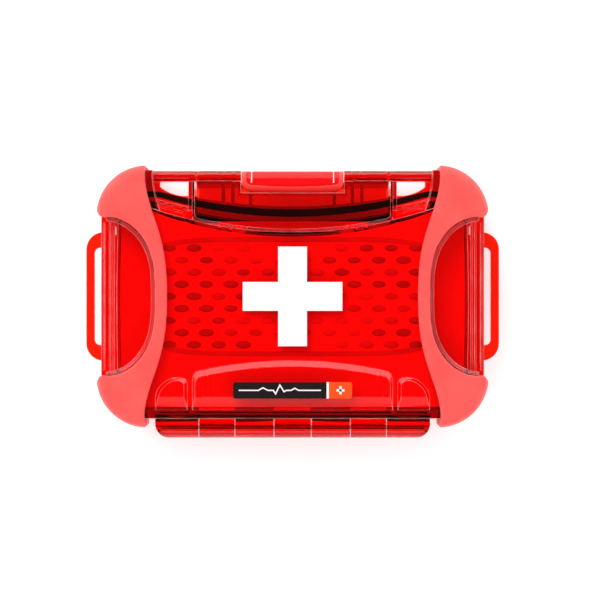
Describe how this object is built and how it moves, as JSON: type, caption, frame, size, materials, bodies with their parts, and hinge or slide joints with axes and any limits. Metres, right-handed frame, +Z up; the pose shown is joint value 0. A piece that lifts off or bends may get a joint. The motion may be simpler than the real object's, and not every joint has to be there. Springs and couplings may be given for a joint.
{
  "type": "pocket first aid kit in a hinged hard case",
  "caption": "Pocket first aid kit: see-through red clamshell case with soft red corner bumpers, a white cross, a front latch, side strap loops and supplies inside.",
  "frame": {"origin": "on the floor, under the middle of the kit's outline seen from above", "axes": "+X along the case, +Y towards the hinge, -Y towards the latch, +Z up through the lid; the kit lies closed on its base"},
  "size_m": [0.1798, 0.1178, 0.0471],
  "materials": {
    "red_polycarbonate": "gloss, see-through",
    "red_latch_plastic": "satin",
    "bumper_elastomer": "satin",
    "red_liner_rubber": "matte",
    "black_seal_rubber": "matte",
    "steel": "satin",
    "white_vinyl": "satin",
    "black_vinyl": "satin",
    "orange_vinyl": "satin",
    "white_gauze": "matte",
    "sachet_paper": "matte",
    "blue_sachet": "satin",
    "tan_stretch_cloth": "matte",
    "white_tape_cloth": "matte",
    "white_plastic": "satin"
  },
  "bodies": {
    "base": {"base_shell": "red_polycarbonate", "base_bumper_right": "bumper_elastomer", "base_bumper_left": "bumper_elastomer", "base_liner": "red_liner_rubber", "hinge_pin": "steel", "bandage_roll": "white_gauze", "stretch_bandage": "tan_stretch_cloth", "tape_roll": "white_tape_cloth", "tape_spool": "white_plastic", "wipe_sachets": "blue_sachet", "plaster_packets": "sachet_paper", "gauze_pads": "sachet_paper", "tweezers": "steel"},
    "lid": {"lid_shell": "red_polycarbonate", "lid_bumper_right": "bumper_elastomer", "lid_bumper_left": "bumper_elastomer", "lid_liner": "red_liner_rubber", "gasket": "black_seal_rubber", "cross_decal": "white_vinyl", "label_plate": "black_vinyl", "label_divider": "white_vinyl", "label_end": "orange_vinyl", "latch_pin": "steel"},
    "latch": {"latch_lever": "red_latch_plastic", "latch_grip": "bumper_elastomer"}
  },
  "joints": [
    {"name": "lid_hinge", "type": "hinge", "parent": "base", "child": "lid", "pos_m": [0, 0.05475, 0.027], "axis": [-1, 0, 0], "range_deg": [0, 180]},
    {"name": "latch_pivot", "type": "hinge", "parent": "lid", "child": "latch", "pos_m": [0, -0.05145, 0.0319], "axis": [-1, 0, 0], "range_deg": [0, 95]}
  ]
}
